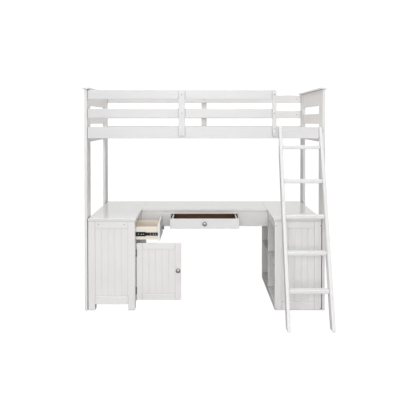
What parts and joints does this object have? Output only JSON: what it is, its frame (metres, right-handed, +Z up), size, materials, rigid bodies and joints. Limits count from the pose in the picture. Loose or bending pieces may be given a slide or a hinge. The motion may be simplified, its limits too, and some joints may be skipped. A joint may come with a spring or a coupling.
{
  "type": "loft bed with desk",
  "caption": "White wooden loft bed with guard rails and a leaning ladder over a U-shaped desk with a drawer pedestal, a middle drawer and an open bookcase.",
  "frame": {"origin": "on the floor, below the middle of the whole object's box", "axes": "+X right as seen from the front, -Y towards the viewer at the ladder side, +Z up"},
  "size_m": [2.011, 1.595, 1.842],
  "materials": {
    "white_paint": "satin white paint on wood",
    "gloss_white": "smooth semi-gloss white lacquer on board",
    "pale_wood": "clear satin pine",
    "brown_board": "matt brown plywood",
    "nickel": "brushed nickel",
    "zinc_steel": "satin zinc plate",
    "black_steel": "black zinc-coated sheet",
    "white_plastic": "moulded matt"
  },
  "bodies": {
    "frame": {"left_posts": "white_paint", "right_posts": "white_paint", "end_caps": "white_paint", "end_panels": "white_paint", "end_rails": "white_paint", "front_side_rail": "white_paint", "front_mid_guard": "white_paint", "front_top_guard": "white_paint", "back_side_rail": "white_paint", "back_mid_guard": "white_paint", "back_top_guard": "white_paint", "front_guard_bar": "white_paint", "ladder_guard_bar": "white_paint", "back_guard_bar": "white_paint", "slat_ledgers": "white_paint", "slats": "pale_wood", "left_stile": "white_paint", "right_stile": "white_paint", "rungs": "white_paint", "desk_top_left": "gloss_white", "desk_top_middle": "gloss_white", "desk_top_right": "gloss_white", "desk_apron": "white_paint", "desk_rails": "white_paint", "pedestal_legs": "white_paint", "pedestal_rails": "white_paint", "pedestal_beaded_ends": "white_paint", "pedestal_side_panels": "white_paint", "pedestal_partition": "white_paint", "pedestal_floor": "white_paint", "bookcase_frames": "white_paint", "bookcase_beaded_ends": "white_paint", "bookcase_back": "white_paint", "bookcase_rails": "white_paint", "bookcase_divider": "white_paint", "bookcase_shelves": "white_paint", "middle_slide_fixed": "black_steel", "side_slide_fixed": "black_steel", "hinge_leaves": "black_steel", "door_catch": "white_plastic", "frame_bolts": "zinc_steel", "guard_bolts": "zinc_steel", "screws": "zinc_steel"},
    "middle_drawer": {"middle_drawer_front": "white_paint", "middle_drawer_box": "brown_board", "middle_drawer_bottom": "brown_board", "middle_drawer_knob": "nickel", "middle_slide_inner": "black_steel"},
    "middle_slides": {"middle_slide_centre": "black_steel"},
    "side_drawer": {"side_drawer_front": "white_paint", "side_drawer_box": "pale_wood", "side_drawer_bottom": "pale_wood", "side_drawer_knob": "nickel", "side_slide_inner": "black_steel"},
    "side_slides": {"side_slide_centre": "black_steel"},
    "door": {"door_frame": "white_paint", "door_panel": "white_paint", "door_knob": "nickel", "door_leaves": "black_steel", "door_strike": "zinc_steel"}
  },
  "joints": [
    {"name": "middle_drawer_slide", "type": "slide", "parent": "frame", "child": "middle_drawer", "axis": [0, -1, 0], "range_m": [-0.25, 0.04]},
    {"name": "middle_slide_run", "type": "slide", "parent": "frame", "child": "middle_slides", "axis": [0, -1, 0], "range_m": [-0.125, 0.02]},
    {"name": "side_drawer_slide", "type": "slide", "parent": "frame", "child": "side_drawer", "axis": [1, 0, 0], "range_m": [-0.202, 0.038]},
    {"name": "side_slide_run", "type": "slide", "parent": "frame", "child": "side_slides", "axis": [1, 0, 0], "range_m": [-0.101, 0.019]},
    {"name": "door_hinge", "type": "hinge", "parent": "frame", "child": "door", "pos_m": [-0.5744, -0.21525, 0.302], "axis": [0, 0, 1], "range_deg": [-85, 90]}
  ],
  "couplings": [
    {"joint": "middle_slide_run", "follows": "middle_drawer_slide", "ratio": 0.5},
    {"joint": "side_slide_run", "follows": "side_drawer_slide", "ratio": 0.5}
  ]
}
